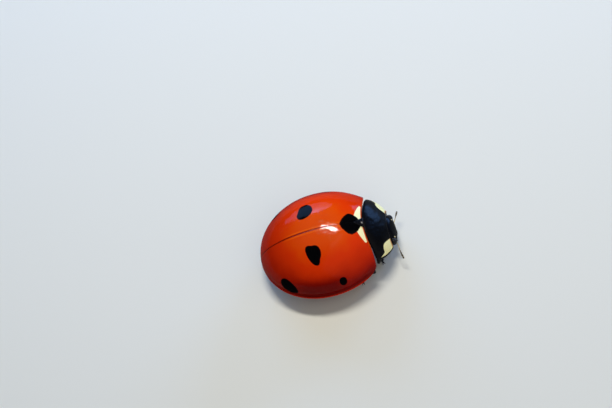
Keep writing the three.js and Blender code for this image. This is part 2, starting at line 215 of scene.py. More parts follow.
class Body:
    """The closed surfaces of one piece, in millimetres. A lofted one also keeps its unwrap and
    the way it runs, for bristles to follow."""

    def __init__(self):
        self.points = []
        self.faces = []
        self.count = 0
        self.marks = {}
        self.unwraps = []
        self.runs = []

    def note(self, key, values):
        """Keeps a value for each point of the surface that is added next."""
        earlier = self.marks.get(key, np.zeros(0))
        self.marks[key] = np.append(np.pad(earlier, (0, self.count - len(earlier))), values)

    def add(self, points, faces):
        way = -1 if inside_out(points, faces) else 1
        self.points.append(points)
        self.faces += [tuple(int(i) + self.count for i in f)[::way] for f in faces]
        self.count += len(points)
        return self

    def loft(self, rings, **marks):
        """A closed surface through rings of equal length, with a fan over each end. A mark is
        one value, or one for each point of the rings."""
        rings = np.asarray(rings, float)
        rows, columns, _ = rings.shape
        size = rows * columns
        points = np.concatenate([rings.reshape(-1, 3), rings[[0, -1]].mean(1)])
        pairs = [(i, (i + 1) % columns) for i in range(columns)]
        last = size - columns
        faces = list(lattice_faces(rows, columns, True))
        faces += [(size, j, i) for i, j in pairs]
        faces += [(size + 1, last + i, last + j) for i, j in pairs]
        for key, values in marks.items():
            on_points = np.broadcast_to(values, (rows, columns)).ravel()
            self.note(key, np.concatenate([on_points, on_points[[0, -1]]]))
        run = unit(np.gradient(rings.mean(1), axis=0))
        self.runs.append(np.concatenate([np.repeat(run, columns, 0), run[[0, -1]]]))
        around, along = np.meshgrid(np.arange(columns) / columns, np.linspace(0, 1, rows))
        flat = np.stack([around.ravel(), along.ravel()], -1)
        self.unwraps.append(np.concatenate([flat, [(0.5, 0), (0.5, 1)]]))
        return self.add(points, faces)

    def shell(self, outer, thickness, edge_steps=4, bulge=1.0, **marks):
        """A plate: a lattice of outer points, given a thickness and a round edge, which stands
        out by a share of half the thickness. A mark is one value for each outer point."""
        rows, columns, _ = outer.shape
        size = rows * columns
        centre = outer[rows // 2, columns // 2]
        normal = unit(np.cross(np.gradient(outer, axis=0), np.gradient(outer, axis=1)))
        outer, normal = outer.reshape(-1, 3), normal.reshape(-1, 3)
        if ((outer - outer.mean(0)) * normal).sum() < 0:
            normal = -normal
        thickness = np.repeat(np.broadcast_to(thickness, rows), columns)[:, None]
        index = np.arange(size).reshape(rows, columns)
        border = np.concatenate([index[0], index[1:, -1], index[-1, -2::-1], index[-2:0:-1, 0]])
        edge, edge_normal, edge_thickness = outer[border], normal[border], thickness[border]
        outward = unit(np.cross(np.roll(edge, -1, 0) - np.roll(edge, 1, 0), edge_normal))
        if (outward * (centre - edge)).sum() > 0:
            outward = -outward
        points = [outer, outer - normal * thickness]
        rings = [border]
        for step in range(1, edge_steps):
            turn = pi * step / edge_steps
            sunk = edge_normal * (cos(turn) - 1) + outward * bulge * sin(turn)
            points.append(edge + edge_thickness / 2 * sunk)
            rings.append(2 * size + (step - 1) * len(border) + np.arange(len(border)))
        rings.append(border + size)
        quads = lattice_faces(rows, columns, False)
        faces = [quads, quads[:, ::-1] + size]
        for a, b in zip(rings, rings[1:]):
            faces.append(np.stack([a, b, np.roll(b, -1), np.roll(a, -1)], -1))
        for key, values in marks.items():
            values = values.ravel()
            under = [values] + [values[border]] * (edge_steps - 1)
            self.note(key, np.concatenate([values, np.concatenate(under) + UNDERNEATH]))
        return self.add(np.concatenate(points), np.concatenate(faces))

    def limb(self, path, widths, heights=None, columns=16, rounding=5, groove=0.0, **marks):
        """A round-ended limb along a path, with a half width and half height at each point, or
        a pair of either for an even taper. The groove is a share of its height."""
        path = np.asarray(path, float)
        heights = taper(widths if heights is None else heights, len(path))
        widths = taper(widths, len(path))
        tangents = unit(np.gradient(path, axis=0))
        angles = np.linspace(0, 2 * pi, columns, endpoint=False)
        hollow = 1 - groove * bump_at(angles, GROOVE_AT, GROOVE_SPREAD)

        def ring(index, ahead=0.0, size=1.0):
            side = unit(np.cross(tangents[index], (0, 0, 1)))
            over = np.cross(side, tangents[index])
            across = np.outer(np.cos(angles) * widths[index] * size, side)
            upward = np.outer(np.sin(angles) * hollow * heights[index] * size, over)
            return path[index] + tangents[index] * ahead + across + upward

        def end(index, sign):
            reach = min(widths[index], heights[index])
            turns = (pi / 2) * np.arange(1, rounding) / rounding
            return [ring(index, sign * reach * sin(turn), cos(turn)) for turn in turns]

        middle = [ring(i) for i in range(len(path))]
        return self.loft(end(0, -1)[::-1] + middle + end(-1, 1), **marks)

    def mesh(self, name):
        mesh = bpy.data.meshes.new(name)
        mesh.from_pydata(place(np.concatenate(self.points)).tolist(), [], self.faces)
        mesh.shade_smooth()
        mesh.update()
        for key, values in self.marks.items():
            values = np.pad(values, (0, self.count - len(values)))
            mesh.attributes.new(key, "FLOAT", "POINT").data.foreach_set("value", values)
        return mesh

    def piece(self, name, material, slot, *nodes):
        """Makes the Blender object, which rides on the body and stands for the CAD nodes."""
        piece = new_object(name, self.mesh(name))
        piece.data.materials.append(material)
        hand_over(piece, slot, *nodes)

    def coat_ground(self, name):
        """The lofted surfaces again, with an unwrap, a strip for each, and the way they run."""
        mesh = self.mesh(name)
        run = mesh.attributes.new("run", "FLOAT_VECTOR", "POINT")
        run.data.foreach_set("vector", np.concatenate(self.runs).ravel())
        strips = np.concatenate([np.full(len(u), i) for i, u in enumerate(self.unwraps)])
        around, along = np.concatenate(self.unwraps).T
        corners = np.concatenate(self.faces)
        counts = [len(f) for f in self.faces]
        around = around[corners]
        furthest = np.maximum.reduceat(around, np.cumsum([0, *counts[:-1]]))
        around += np.repeat(furthest, counts) - around > 0.5
        across = strips[corners] + mix(STRIP_MARGIN, 1 - STRIP_MARGIN, around)
        unwrap = mesh.attributes.new("unwrap", "FLOAT2", "CORNER")
        flat = np.stack([across / len(self.unwraps), along[corners]], -1)
        unwrap.data.foreach_set("vector", flat.ravel())
        return mesh


def hand_over(piece, slot, *nodes):
    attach(piece, "root")
    if nodes:
        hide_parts(*nodes)


# ---- Node trees ----


class NodeTree:
    """A tree of nodes. Each node's inputs take a value or another node's output."""

    def __init__(self, tree):
        self.tree = tree

    def node(self, kind, inputs=None, **settings):
        made = self.tree.nodes.new(kind)
        for key, value in settings.items():
            setattr(made, key, value)
        for key, value in (inputs or {}).items():
            self.feed(made.inputs[key], value)
        return made

    def feed(self, socket, value):
        if isinstance(value, bpy.types.NodeSocket):
            self.tree.links.new(value, socket)
        elif socket.type == "RGBA":
            socket.default_value = (*value, 1)
        else:
            socket.default_value = value

    def out(self, kind, inputs=None, **settings):
        """The first output of a new node."""
        return self.node(kind, inputs, **settings).outputs[0]

    def math(self, operation, a, b=0.0, c=0.0):
        return self.out("ShaderNodeMath", {0: a, 1: b, 2: c}, operation=operation)

    def times(self, first, *others):
        for other in others:
            first = self.math("MULTIPLY", first, other)
        return first

    def vector(self, operation, a, b, c=(0, 0, 0)):
        return self.out("ShaderNodeVectorMath", {0: a, 1: b, 2: c}, operation=operation)


# ---- Geometry Nodes ----

TUFT_PATCH = 0.003  # size of a bristle's patch on the unwrap
BRISTLE_SIDES = 4
SHORTEST_BRISTLE, LONGEST_BRISTLE = 0.55, 1.2  # shares of the length asked for
WORKING_ATTRIBUTES = ("own", "run", "unwrap", "furry", "shade", "UVMap")


class Recipe(NodeTree):
    """A tree of Geometry Nodes with named inputs, which makes one piece from a start mesh."""

    def __init__(self, name):
        super().__init__(bpy.data.node_groups.new(name, "GeometryNodeTree"))
        for way in ("INPUT", "OUTPUT"):
            self.tree.interface.new_socket("Shape", in_out=way, socket_type="NodeSocketGeometry")
        self.entry = self.tree.nodes.new("NodeGroupInput")
        self.exit = self.tree.nodes.new("NodeGroupOutput")
        self.keys = {}

    def input(self, name, kind="Float"):
        socket = self.tree.interface.new_socket(name, in_out="INPUT", socket_type=f"NodeSocket{kind}")
        self.keys[name] = socket.identifier
        return self.entry.outputs[name]

    def named(self, key, kind="FLOAT_VECTOR"):
        made = self.node("GeometryNodeInputNamedAttribute", {"Name": key}, data_type=kind)
        return made.outputs["Attribute"]

    def with_map(self, geometry, key, value):
        """Keeps a flat place for each corner of the geometry's faces."""
        kind = "GeometryNodeStoreNamedAttribute"
        inputs = {"Geometry": geometry, "Name": key, "Value": value}
        return self.out(kind, inputs, data_type="FLOAT2", domain="CORNER")

    def joined(self, x, y, z):
        return self.out("ShaderNodeCombineXYZ", {0: x, 1: y, 2: z})

    def done(self, geometry, finish):
        """Ends the tree: the instances are made real and take their material."""
        real = self.out("GeometryNodeRealizeInstances", {"Geometry": geometry})
        painted = self.out("GeometryNodeSetMaterial", {"Geometry": real, "Material": finish})
        self.tree.links.new(painted, self.exit.inputs[0])
        return self

    def piece(self, name, start, slot, nodes=(), **values):
        """Makes the piece as a plain mesh. The values belong to the tree's named inputs."""
        piece = new_object(name, start)
        modifier = piece.modifiers.new("recipe", "NODES")
        modifier.node_group = self.tree
        for key, value in values.items():
            modifier[self.keys[key]] = value
        graph = bpy.context.evaluated_depsgraph_get()
        mesh = bpy.data.meshes.new_from_object(
            piece.evaluated_get(graph), preserve_all_data_layers=True, depsgraph=graph
        )
        piece.modifiers.remove(modifier)
        piece.data = mesh
        mesh.name = name
        for key in WORKING_ATTRIBUTES:
            if key in mesh.attributes:
                mesh.attributes.remove(mesh.attributes[key])
        hand_over(piece, slot, *nodes)


def bristle_recipe():
    """Thin bristles that stand on a skin and lean the way it runs, densest where it is furry.
    Those that would reach into the floor are bent up onto it."""
    recipe = Recipe("bristles")
    density, length, width, lean = map(recipe.input, ("Density", "Length", "Width", "Lean"))
    seed = recipe.input("Seed", "Int")
    finish = recipe.input("Finish", "Material")
    dense = recipe.times(density, recipe.named("furry", "FLOAT"))
    inputs = {"Mesh": recipe.entry.outputs["Shape"], "Density": dense, "Seed": seed}
    roots = recipe.node("GeometryNodeDistributePointsOnFaces", inputs)
    leaning = {0: lean, 4: roots.outputs["Normal"], 5: recipe.named("run")}
    way = recipe.node("ShaderNodeMix", leaning, data_type="VECTOR")
    turn = recipe.out("FunctionNodeAlignRotationToVector", {"Vector": way.outputs[1]}, axis="Z")
    shares = {2: SHORTEST_BRISTLE, 3: LONGEST_BRISTLE, "Seed": seed}
    uneven = recipe.node("FunctionNodeRandomValue", shares)
    size = recipe.joined(width, width, recipe.times(length, uneven.outputs[1]))
    bristle = recipe.node("GeometryNodeMeshCone", {"Vertices": BRISTLE_SIDES, "Depth": 1.0})
    mapped = recipe.with_map(bristle.outputs["Mesh"], "own", bristle.outputs["UV Map"])
    placed = recipe.out(
        "GeometryNodeInstanceOnPoints",
        {"Points": roots.outputs["Points"], "Instance": mapped, "Rotation": turn, "Scale": size},
    )
    real = recipe.out("GeometryNodeRealizeInstances", {"Geometry": placed})
    at = recipe.out("GeometryNodeInputPosition")
    x, y, z = recipe.node("ShaderNodeSeparateXYZ", {0: at}).outputs
    on_floor = recipe.joined(x, y, recipe.math("MAXIMUM", z, 0.0))
    stood = recipe.out("GeometryNodeSetPosition", {"Geometry": real, "Position": on_floor})
    own, unwrap = map(recipe.named, ("own", "unwrap"))
    patch = recipe.vector("MULTIPLY_ADD", own, (TUFT_PATCH,) * 3, unwrap)
    return recipe.done(recipe.with_map(stood, "OFBake", patch), finish)


def faceted_eye_recipe():
    """An eye of raised facets, nearly all six-sided, as one closed surface."""
    recipe = Recipe("faceted_eye")
    middle, radii = (recipe.input(name, "Vector") for name in ("Middle", "Radii"))
    fineness = recipe.input("Fineness", "Int")
    height, top = map(recipe.input, ("Rise", "Top"))
    finish = recipe.input("Finish", "Material")
    ball = recipe.node("GeometryNodeMeshIcoSphere", {"Subdivisions": fineness})
    cells = recipe.out("GeometryNodeDualMesh", {"Mesh": ball.outputs["Mesh"]})
    raised = recipe.node("GeometryNodeExtrudeMesh", {"Mesh": cells, "Offset Scale": height})
    facets = recipe.out(
        "GeometryNodeScaleElements",
        {"Geometry": raised.outputs["Mesh"], "Selection": raised.outputs["Top"], "Scale": top},
    )
    inputs = {"Geometry": facets, "Translation": middle, "Scale": radii}
    sized = recipe.out("GeometryNodeTransform", inputs)
    return recipe.done(recipe.out("GeometryNodeSetShadeSmooth", {"Geometry": sized}), finish)


# ---- Materials ----

PIT_SIZE = 0.3  # as a share of the spacing of the pits
EDGE_GRAIN = (3.6, 4.0, 0.65)  # scale, detail and roughness of a spot's uneven edge


class Paint(NodeTree):
    """A material painted in body-frame millimetres."""

    def __init__(self, name, colour, roughness, coat=0.0, coat_roughness=0.05, specular=0.5):
        self.material = bpy.data.materials.new(name)
        self.material.use_nodes = True
        super().__init__(self.material.node_tree)
        self.shader = self.tree.nodes["Principled BSDF"].inputs
        self.shader["Roughness"].default_value = roughness
        self.shader["Coat Weight"].default_value = coat
        self.shader["Coat Roughness"].default_value = coat_roughness
        self.shader["Specular IOR Level"].default_value = specular
        coordinates = self.node("ShaderNodeTexCoord").outputs["Object"]
        moved = self.vector("ADD", coordinates, tuple(-ORIGIN * MM))
        self.place = self.vector("MULTIPLY", moved, (1 / MM,) * 3)
        self.colour = colour
        self.height = None

    def axes(self):
        return self.node("ShaderNodeSeparateXYZ", {0: self.place}).outputs

    def noise(self, scale, detail=2.0, roughness=0.5, vector=None):
        inputs = {"Scale": scale, "Detail": detail, "Roughness": roughness}
        made = self.node("ShaderNodeTexNoise", {"Vector": vector or self.place, **inputs})
        return made.outputs["Fac"]

    def cells(self, scale):
        made = self.node("ShaderNodeTexVoronoi", {"Vector": self.place, "Scale": scale})
        return made.outputs["Distance"]

    def ramp(self, value, low, high, out_low=0.0, out_high=1.0):
        return self.out(
            "ShaderNodeMapRange",
            {"Value": value, "From Min": low, "From Max": high, "To Min": out_low, "To Max": out_high},
            interpolation_type="SMOOTHSTEP",
        )

    def blend(self, mask, under, over):
        made = self.node("ShaderNodeMix", {0: mask, 6: under, 7: over}, data_type="RGBA")
        return made.outputs[2]

    def cover(self, colour, *masks):
        """Lays a colour over what is there, where all the masks are 1."""
        self.colour = self.blend(self.times(*masks), self.colour, colour)

    def mark(self, key):
        return self.node("ShaderNodeAttribute", attribute_name=key).outputs["Fac"]

    def emboss(self, height):
        self.height = height if self.height is None else self.math("ADD", self.height, height)

    def pits(self, scale, depth=1.0):
        """Covers the surface with small round dents."""
        self.emboss(self.times(self.ramp(self.cells(scale), 0.0, PIT_SIZE), depth))

    def swell(self, scale, height, detail=2.0):
        """Gives the surface soft, uneven rises."""
        self.emboss(self.times(self.noise(scale, detail), height))

    def spot(self, centre, sizes, direction, facing, power=2.0, wobble=0.12):
        """How far a point is from a spot's middle, as a share of its outline. The spot lies square
        to facing, its first half size along the direction. A power of 2 makes it round."""
        facing = Vector(facing).normalized()
        first = square_to(direction, facing)
        moved = self.vector("ADD", self.place, tuple(-c for c in centre))
        terms = []
        for axis, size in zip((first, facing.cross(first)), sizes):
            inputs = {0: moved, 1: tuple(axis / size)}
            dot = self.node("ShaderNodeVectorMath", inputs, operation="DOT_PRODUCT")
            share = self.math("ABSOLUTE", dot.outputs["Value"])
            terms.append(self.math("POWER", share, power))
        reach = self.math("POWER", self.math("ADD", *terms), 1 / power)
        uneven = self.math("SUBTRACT", self.noise(*EDGE_GRAIN, vector=moved), 0.5)
        return self.math("ADD", reach, self.times(uneven, wobble * 2))

    def done(self, depth=0.01):
        """depth is how many millimetres a height of 1 stands out."""
        self.feed(self.shader["Base Color"], self.colour)
        if self.height is not None:
            bump = self.out("ShaderNodeBump", {"Height": self.height, "Distance": depth * MM})
            self.feed(self.shader["Normal"], bump)
            self.feed(self.shader["Coat Normal"], bump)
        return self.material


# The wing cases' red at heights above the rim, from the flank up to the back. The darker reds low down
# are painted shade.
RED_SHADED_BY_HEIGHT = (
    (0.3, (0.20, 0.002, 0.001)),
    (1.0, (0.40, 0.008, 0.001)),
    (1.8, (0.72, 0.034, 0.001)),
    (2.3, (0.74, 0.066, 0.001)),
)
SPOT_BLACK = (0.0012, 0.0012, 0.0016)
CREAM = (0.98, 0.88, 0.45)
PATCH_CREAM = (0.88, 0.79, 0.37)
PATCH_SHADE = (0.62, 0.50, 0.26)
PATCH_RIM = (0.60, 0.24, 0.05)
SEAM_RED = (0.20, 0.008, 0.001)
# Painted light: a lighter orange beside the seam.
SEAM_LIT_ORANGE = (0.86, 0.12, 0.002)
# Painted reflection: a lighter red along the rim.
RED_RIM_REFLECTION = (0.60, 0.02, 0.002)
# Painted shade: a darker red towards the tail.
RED_REAR_SHADE = (0.37, 0.012, 0.001)
# Painted light: a lighter red on the front of the flanks.
RED_FRONT_LIGHT = (0.64, 0.026, 0.001)
# Painted shade: a dark band low on the flank.
RED_FLANK_SHADE = (0.16, 0.002, 0.001)
MARGIN_ORANGE = (0.62, 0.06, 0.003)
FLANK_GLOSS, BACK_GLOSS = 0.12, 1.0


def dome_normal(x, y):
    step = 1e-3
    fall_x = dome(x - step, y) - dome(x + step, y)
    fall_y = dome(x, y - step) - dome(x, y + step)
    return Vector((fall_x, fall_y, 2 * step)).normalized()


# Each spot is one or more lobes: the middle in plan, two half sizes, the first one's direction.
SPOTS = {
    "disc_right": [
        ((-2.86, -1.33), 0.59, 0.26, (-0.28, 0.96, 0)),
        ((-2.69, -1.23), 0.41, 0.32, (0, -1, 0)),
    ],
    "disc_left": [
        ((-2.86, 1.31), 0.45, 0.38, (0, 1, 0)),
        ((-2.88, 1.16), 0.46, 0.32, (-0.86, -0.5, 0)),
    ],
    "shoulder_right": [((-1.66, -2.66), 0.27, 0.20, (0.13, -1, 0))],
    "shoulder_left": [((-1.66, 2.66), 0.26, 0.20, (0.13, 1, 0))],
    "rear_right": [
        ((-4.55, -2.20), 0.50, 0.36, (0.61, -0.68, -0.6)),
        ((-4.68, -2.12), 0.52, 0.33, (0.04, -1.25, -0.8)),
    ],
    "rear_left": [
        ((-4.60, 2.13), 0.48, 0.35, (0.5, 0.8, -0.6)),
        ((-4.70, 2.10), 0.46, 0.33, (0.04, 1.2, -0.8)),
    ],
}
LOBE_BLEND = 0.6  # how far apart the lobes of a spot flow together
SPOT_EDGE = 0.045
FRONT_SPOT, FRONT_SPOT_SIZES = (-0.60, -0.03, 1.95), (0.56, 0.61)
WHITE_MARK, WHITE_MARK_SIZES = (0, 0.45, 1.65), (0.38, 0.64)
LENGTHWAYS, UP = (1, 0, 0), (0, 0, 1)


def front_markings(paint, x, y):
    """The white mark on each side of the scutellum, the orange margin and the black spot that
    both sides share, whose mask it gives back."""
    for side in (-1, 1):
        centre = np.multiply(WHITE_MARK, (1, side, 1))
        reach = paint.spot(centre, WHITE_MARK_SIZES, LENGTHWAYS, (0.2, 0, 1), 1.2, 0.04)
        paint.cover(CREAM, paint.ramp(reach, 1.03, 0.96))
    margin = paint.math("SUBTRACT", paint.times(y, y, 0.08), x)
    paint.cover(MARGIN_ORANGE, paint.ramp(margin, 0.06, 0.03))
    reach = paint.spot(FRONT_SPOT, FRONT_SPOT_SIZES, LENGTHWAYS, (0.15, 0, 1), 1.5)
    return paint.ramp(reach, 1.04, 0.97)


def spot_mask(paint, y, lobes):
    """A spot of one or more lobes that flow together, on its own side of the seam."""
    reach = None
    for (at_x, at_y), *sizes, direction in lobes:
        centre = (at_x, at_y, dome(at_x, at_y))
        lobe = paint.spot(centre, sizes, direction, dome_normal(at_x, at_y), 2.2, 0.07)
        reach = lobe if reach is None else paint.math("SMOOTH_MIN", reach, lobe, LOBE_BLEND)
    same_side = paint.ramp(paint.times(y, -1 if at_y < 0 else 1), 0, 0.1)
    return paint.times(paint.ramp(reach, 1 + SPOT_EDGE, 1 - SPOT_EDGE), same_side)


def red_shell_material():
    paint = Paint("red_wing_case", RED_SHADED_BY_HEIGHT[0][1], 0.4, coat=0.2, specular=0.0)
    ramp = paint.ramp
    x, y, z = paint.axes()
    wide = paint.math("ABSOLUTE", y)
    cloudy = paint.times(paint.math("SUBTRACT", paint.noise(1.3, 3.0), 0.5), 0.5)
    level = paint.math("ADD", z, cloudy)
    # Painted shade: the red darkens from the back down the flanks.
    for (low, _), (high, colour) in zip(RED_SHADED_BY_HEIGHT, RED_SHADED_BY_HEIGHT[1:]):
        paint.cover(colour, ramp(level, low, high))
    # Painted shade, darker towards the tail.
    paint.cover(RED_REAR_SHADE, ramp(x, -2.6, -6.0, 0.0, 0.8))
    # Painted light on the front of the flanks.
    paint.cover(RED_FRONT_LIGHT, ramp(x, -2.0, -0.8, 0.0, 0.6), ramp(z, 0.6, 1.3), ramp(z, 1.9, 1.5))
    # Painted shade: a dark band low on the flank, from the middle to the tail.
    paint.cover(RED_FLANK_SHADE, ramp(z, 1.5, 0.95), ramp(x, -1.2, -2.2, 0.0, 0.85), ramp(x, -4.9, -3.5))
    # Painted reflection: a lighter red line along the rim.
    paint.cover(RED_RIM_REFLECTION, ramp(z, 0.2, 0.11))
    paint.cover(SEAM_RED, ramp(wide, 0.06, 0.015), ramp(x, -1.2, -3.2, 0.1, 1.0))
    # Painted light: a lighter orange band beside the seam, towards the tail.
    lit_beside_seam = paint.times(ramp(wide, 0.05, 0.08), ramp(wide, 0.17, 0.12))
    paint.cover(SEAM_LIT_ORANGE, lit_beside_seam, ramp(x, -4.4, -3.4, 0.0, 0.6))
    black = front_markings(paint, x, y)
    for lobes in SPOTS.values():
        black = paint.math("MAXIMUM", black, spot_mask(paint, y, lobes))
    paint.cover(SPOT_BLACK, black)
    red_gloss = ramp(z, 2.08, 2.3, FLANK_GLOSS, BACK_GLOSS)
    spot_gloss = ramp(z, 1.0, 1.9, 0.02, 0.11)
    gloss = paint.out("ShaderNodeMix", {0: black, 2: red_gloss, 3: spot_gloss})
    paint.feed(paint.shader["Coat Weight"], gloss)
    paint.pits(17.0, 0.3)
    paint.swell(1.6, 1.9, detail=1.0)
    paint.swell(4.5, 0.75)
    return paint.done(0.006)


def black_shell_material():
    """Black, with a pale patch in each front corner."""
    paint = Paint("black_pronotum", (0.0015, 0.0015, 0.002), 0.45, 0.18, 0.28, specular=0.0)
    corner = paint.math("ADD", paint.mark("front_corner"), paint.times(paint.noise(6.0, 3.0), 0.12))
    patch = paint.blend(paint.ramp(paint.cells(16.0), 0.05, 0.3), PATCH_SHADE, PATCH_CREAM)
    in_patch = paint.ramp(corner, 1.1, 0.98)
    paint.cover(patch, in_patch)
    paint.cover(PATCH_RIM, in_patch, paint.ramp(paint.mark("front_rim"), 0.965, 0.985))
    paint.pits(26.0, 0.35)
    paint.swell(2.2, 5.5)
    return paint.done(0.006)


def plain_black_material(name, colour, roughness, pits, depth=0.006, coat=0.05, specular=0.25):
    paint = Paint(name, colour, roughness, coat, 0.15, specular)
    lighter = tuple(c * 1.7 for c in colour)
    paint.cover(lighter, paint.ramp(paint.noise(5.0, 4.0), 0.45, 0.75))
    paint.pits(pits)
    return paint.done(depth)


def brown_material(name, colour, tip_colour, roughness=0.4):
    paint = Paint(name, colour, roughness, specular=0.3)
    mottled = paint.math("ADD", paint.mark("shade"), paint.times(paint.noise(9.0, 3.0), 0.3))
    paint.cover(tip_colour, paint.ramp(mottled, 0.5, 0.9))
    paint.emboss(paint.noise(30.0, 2.0))
    return paint.done(0.004)


def head_material():
    """Black, with a small pale spot beside each eye."""
    paint = Paint("black_head", (0.003, 0.003, 0.004), 0.4, 0.12, 0.15, specular=0.0)
    for side in SIDES.values():
        centre = (1.36, side * 0.50 + HEAD_TURN_Y, 0.20)
        facing = (1, side * 0.5, 0.5)
        reach = paint.spot(centre, (0.065, 0.035), (0.5, 0, -1), facing, wobble=0.2)
        paint.cover(PATCH_SHADE, paint.ramp(reach, 1.1, 0.9))
    paint.pits(16.0)
    paint.swell(5.0, 2.0)
    return paint.done(0.006)


def belly_material():
    """Black, with two pale plates on each side, behind the pronotum and under its rear corner."""
    paint = Paint("black_belly", (0.010, 0.008, 0.007), 0.45, 0.08, 0.2, specular=0.2)
    paint.cover((0.022, 0.016, 0.012), paint.ramp(paint.noise(5.0, 4.0), 0.45, 0.75))
    low = paint.ramp(paint.axes()[2], 0.02, -0.04)
    for side in SIDES.values():
        reach = paint.spot((-0.42, side * 1.42, -0.2), (0.30, 0.26), LENGTHWAYS, UP, 2.4)
        paint.cover(CREAM, paint.ramp(reach, 1.05, 0.95), low)
        centre = (0.10, side * 1.66, -0.10)
        reach = paint.spot(centre, (0.17, 0.12), LENGTHWAYS, (0, side, 0), 2.2, 0.1)
        paint.cover(CREAM, paint.ramp(reach, 1.05, 0.95))
    paint.pits(11.0)
    return paint.done(0.008)


def bristle_material():
    paint = Paint("pale_bristles", (0.30, 0.25, 0.16), 0.5, specular=0.3)
    paint.cover((0.62, 0.54, 0.38), paint.ramp(paint.noise(12.0, 2.0), 0.35, 0.7))
    return paint.done()


# ---- Wing cases ----

FRONT_SWEEP, FRONT_CURL = 0.112, 0.0175
SHOULDER_REACH, SHOULDER_RISE = 0.75, 0.50  # how far back and how far up each shoulder is rounded
THIN_TAIL = 0.9  # the wing case thins where its half width is less than this
LAST_STATION = 0.985  # where its last row is, as a share of a quarter turn
SEAM_TURNS = (0.0, 0.004, 0.009, 0.016)  # its first columns lie close together, for the groove
SHELF_HEIGHT, SHELF_ABOVE, SHELF_BELOW = 0.24, 0.22, 0.065  # its place and its spread each way
GROOVE_WIDTH = 0.015
FLANGE_RISE = 0.05


def along_back(x, greatest, at, front_share, front_power, rear_power):
    """A size that is greatest at one place, smaller in front and nothing at the tail."""
    x = np.asarray(x, float)
    front = 1 - (1 - front_share) * np.maximum(0, (x - at) / -at) ** front_power
    rear = np.clip((at - x) / (SEAM_LENGTH + at), 0, 1)
    return greatest * np.where(x > at, front, np.sqrt(1 - rear**rear_power))


def half_width(x):
    return along_back(x, HALF_WIDTH, WIDEST_X, FRONT_WIDTH, 2.19, 1.98)


def ridge_height(x):
    return along_back(x, DOME_HEIGHT, TOP_X, FRONT_HEIGHT, 2.06, 2.09)


def dome(x, y):
    """Height of the closed wing cases at a place in plan."""
    share = np.clip(np.abs(y) / np.maximum(half_width(x), 1e-6), 0, 1)
    return float(ridge_height(x) * np.sqrt(1 - share**2))


def front_edge(y):
    """Where the wing cases end in front, without the rounding of the shoulders."""
    return FRONT_SWEEP * y**2 - FRONT_CURL * y**4


def shoulder_cut(rise):
    """How far the front edge is rounded off at a height above the rim."""
    low = np.maximum(0, 1 - rise / SHOULDER_RISE)
    return SHOULDER_REACH * (1 - np.sqrt(1 - low**2))


def wing_case(name, material):
    turn = np.concatenate([SEAM_TURNS, np.linspace(0.028, 1.42, 44), np.linspace(1.435, pi / 2, 14)])
    stations = np.sin(np.linspace(0, LAST_STATION, 96) * pi / 2)
    start = SEAM_GAP / 2 + SHELL / 2 * EDGE_BULGE
    shrink = np.minimum(1, half_width(mix(0, -SEAM_LENGTH, stations)) / THIN_TAIL)
    cut = shoulder_cut(ridge_height(0.0) * np.cos(turn))
    front_x = front_edge(np.sin(turn) * half_width(0.0)) - cut
    bend = np.linspace(0, pi / 2, 7)[1:]
    inward = np.linspace(0, 1, 9)[1:]
    grid = []
    for station, thin in zip(stations, shrink):
        radius = RIM_RADIUS * thin
        x = mix(front_x, -SEAM_LENGTH, station)
        width, height = half_width(x), ridge_height(x)
        y = start * thin + (width - start * thin) * np.sin(turn)
        z = radius + (height - radius) * np.cos(turn)
        z -= SEAM_GROOVE * thin * np.exp(-(y - y[0]) / GROOVE_WIDTH)
        spread = np.where(z > SHELF_HEIGHT, SHELF_ABOVE, SHELF_BELOW)
        shelf = RIM_SHELF * thin * np.clip((front_x - x) / SHELF_START, 0, 1)
        y -= shelf * bump_at(z, SHELF_HEIGHT, spread)
        rim_y = width[-1] - radius + radius * np.cos(bend)
        rim_z = radius - radius * np.sin(bend)
        flange = UNDER_FLANGE * thin * (1 - 0.5 * station**6)
        x = np.pad(x, (0, len(bend) + len(inward)), "edge")
        y = np.concatenate([y, rim_y, rim_y[-1] - flange * inward]) * SIDES[name]
        z = np.concatenate([z, rim_z, rim_z[-1] + FLANGE_RISE * thin * inward**2])
        grid.append(np.stack([x, y, z], -1))
    body = Body().shell(np.array(grid), SHELL * shrink, bulge=EDGE_BULGE)
    body.piece(f"wing_case_skin_{name}", material, "red_shell", f"wing_case_{name}")


# ---- Scutellum ----

SCUTELLUM_REAR, SCUTELLUM_FRONT = -0.40, 0.04
SCUTELLUM_HALF_WIDTH = 0.25
SCUTELLUM_BEND = -0.07  # the base in front of this is nearly level
SCUTELLUM_RISE, SCUTELLUM_DROOP = 0.012, 0.04  # above the dome on the seam, and less at the sides


def scutellum(material):
    """The small triangle between the wing cases. Its base lies nearly level."""
    rows, columns = 24, 21
    grid = np.zeros((rows, columns, 3))
    for i, share in enumerate(np.linspace(0.03, 1, rows)):
        x = mix(SCUTELLUM_REAR, SCUTELLUM_FRONT, share)
        y = np.linspace(-1, 1, columns) * SCUTELLUM_HALF_WIDTH * share**0.85
        sloped = min(x, mix(SCUTELLUM_BEND, x, 0.2))
        lift = SCUTELLUM_RISE - SCUTELLUM_DROOP * (y / SCUTELLUM_HALF_WIDTH) ** 2
        z = ridge_height(sloped) * np.sqrt(1 - (y / half_width(x)) ** 2) + lift
        grid[i] = np.stack([np.full(columns, x), y, z], -1)
    Body().shell(grid, 0.06).piece("scutellum_skin", material, "black_shell", "scutellum")


# ---- Pronotum and forebody ----

PRONOTUM_FRONT_X, PRONOTUM_CORNER_X = 1.12, 1.17
PRONOTUM_REAR, PRONOTUM_FRONT = 1.80, 1.13  # half widths
RIDGE_REAR, RIDGE_FRONT = 1.62, 0.74
EDGE_REAR, EDGE_FRONT = 0.56, 0.05
PLATE = 0.10
PRONOTUM_GAP = 0.045  # between its rear edge and the wing cases
REAR_ROUNDING, FRONT_ROUNDING = (0.10, 0.05), (0.06, 0.06)  # of its corners: depth and reach
PATCH_LENGTH, PATCH_WIDTH = 0.448, 0.32  # the pale corner patches, as shares of the plate
FOREBODY_DEPTH = -0.30


